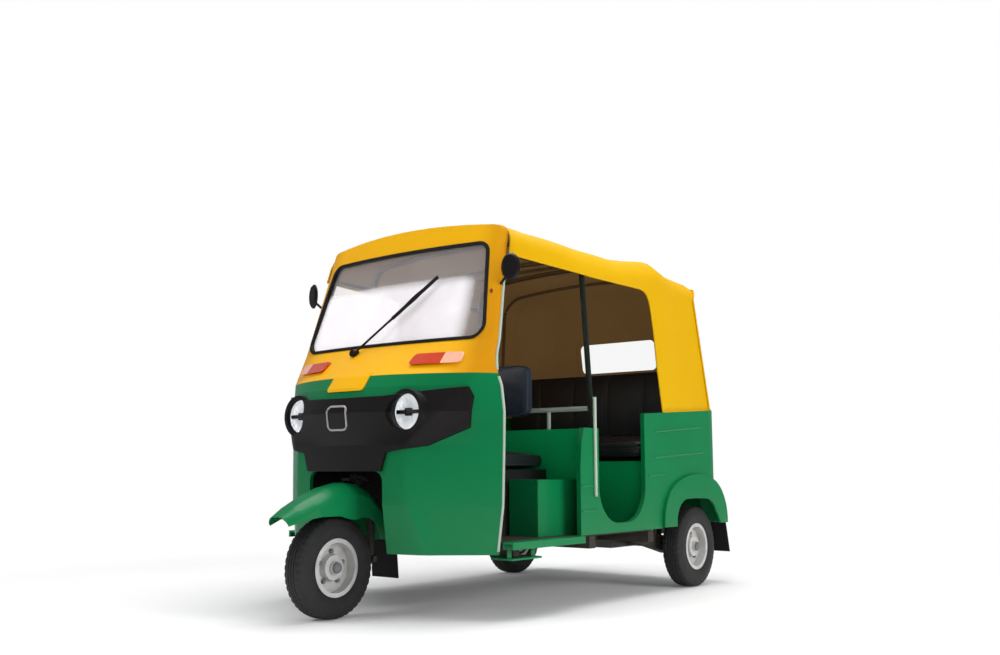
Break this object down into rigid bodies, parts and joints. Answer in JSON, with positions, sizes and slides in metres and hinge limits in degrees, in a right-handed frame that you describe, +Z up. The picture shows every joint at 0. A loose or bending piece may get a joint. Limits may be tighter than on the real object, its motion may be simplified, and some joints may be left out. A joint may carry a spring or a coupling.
{
  "type": "auto rickshaw",
  "caption": "Three-wheeled passenger auto rickshaw with a green steel body, a yellow canvas hood, an open-sided cabin, single front wheel and two driven rear wheels.",
  "frame": {"origin": "on the ground at the middle of the overall length and width", "axes": "+Y towards the tail, -Y forwards, +X to the vehicle's left, +Z up"},
  "size_m": [1.34, 2.6314, 1.7038],
  "materials": {
    "green": "gloss",
    "yellow": "gloss",
    "canvas": "coated canvas, brown lining",
    "black_plastic": "matt",
    "black_steel": "satin",
    "vinyl": "vinyl",
    "glass": "clear",
    "lamp": "clear over reflector",
    "amber": "clear amber",
    "red": "clear red",
    "rubber": "matt",
    "tyre": "matt",
    "wheel_silver": "silver paint",
    "bare_steel": "bare",
    "cast": "as cast"
  },
  "bodies": {
    "vehicle_body": {"battery_box": "green", "bench_base": "green", "body_side_left": "green", "body_side_right": "green", "canvas_hood": "canvas", "chassis_frame": "black_steel", "driver_backrest": "vinyl", "driver_cushion": "vinyl", "driver_seat_base": "black_steel", "engine": "cast", "floor_pan": "black_steel", "front_cowl": "green", "front_indicators": "amber", "front_wheel_box": "black_steel", "headlamp_mask": "black_plastic", "headlamps": "lamp", "hood_frame": "green", "mirror_left": "black_plastic", "mirror_right": "black_plastic", "partition": "green", "partition_rail": "green", "passenger_backrest": "vinyl", "passenger_cushion": "vinyl", "rear_bumper": "black_steel", "rear_flaps": "rubber", "rear_panel": "green", "side_steps": "green", "silencer": "bare_steel", "steering_head": "black_steel", "tail_lamps": "red", "trailing_arm_left": "black_steel", "trailing_arm_right": "black_steel", "wheel_arch_left": "green", "wheel_arch_right": "green", "windscreen": "glass", "windscreen_gasket": "rubber", "windscreen_surround": "yellow", "wiper": "black_plastic"},
    "steering": {"steering_column": "black_steel", "handlebar": "black_plastic", "instrument_pod": "black_plastic", "front_mudguard": "green", "front_flap": "rubber", "front_suspension": "black_steel"},
    "front_wheel": {"front_tyre": "tyre", "front_rim": "wheel_silver"},
    "rear_left_wheel": {"rear_left_tyre": "tyre", "rear_left_rim": "wheel_silver"},
    "rear_right_wheel": {"rear_right_tyre": "tyre", "rear_right_rim": "wheel_silver"},
    "hatch": {"engine_hatch": "green"}
  },
  "joints": [
    {"name": "steering_turn", "type": "hinge", "parent": "vehicle_body", "child": "steering", "pos_m": [0, -0.79568, 0.7], "axis": [0, 0.4226, 0.9063], "range_deg": [-38, 38]},
    {"name": "front_wheel_spin", "type": "hinge", "parent": "steering", "child": "front_wheel", "pos_m": [0, -1.0265, 0.205], "axis": [1, 0, 0], "continuous": true},
    {"name": "rear_left_wheel_spin", "type": "hinge", "parent": "vehicle_body", "child": "rear_left_wheel", "pos_m": [0.575, 0.9735, 0.205], "axis": [1, 0, 0], "continuous": true},
    {"name": "rear_right_wheel_spin", "type": "hinge", "parent": "vehicle_body", "child": "rear_right_wheel", "pos_m": [-0.575, 0.9735, 0.205], "axis": [1, 0, 0], "continuous": true},
    {"name": "hatch_lift", "type": "hinge", "parent": "vehicle_body", "child": "hatch", "pos_m": [0, 1.3095, 0.802], "axis": [1, 0, 0], "range_deg": [0, 75]}
  ]
}
